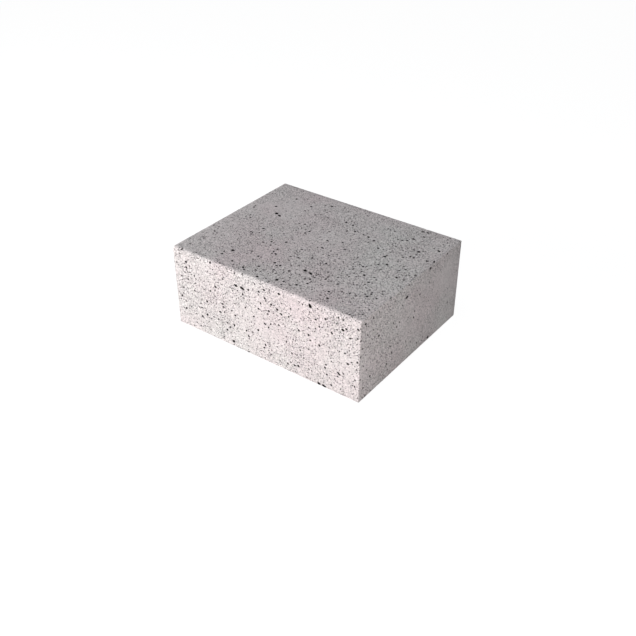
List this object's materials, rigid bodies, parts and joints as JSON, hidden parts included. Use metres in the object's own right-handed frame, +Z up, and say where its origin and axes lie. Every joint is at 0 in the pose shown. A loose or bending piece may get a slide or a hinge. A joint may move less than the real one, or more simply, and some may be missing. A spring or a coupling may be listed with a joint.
{
  "type": "concrete step block",
  "caption": "Solid precast concrete step: a rectangular block with a rounded nosing along its front top edge, bedded to form a tread and riser.",
  "frame": {"origin": "middle of the underside, where the block rests on its bed", "axes": "+X along the step's length, +Y towards the back so that the riser faces -Y, +Z up to the tread"},
  "size_m": [0.5, 0.4, 0.2],
  "materials": {
    "concrete": "matte"
  },
  "bodies": {
    "root": {"step_block": "concrete"}
  },
  "joints": []
}
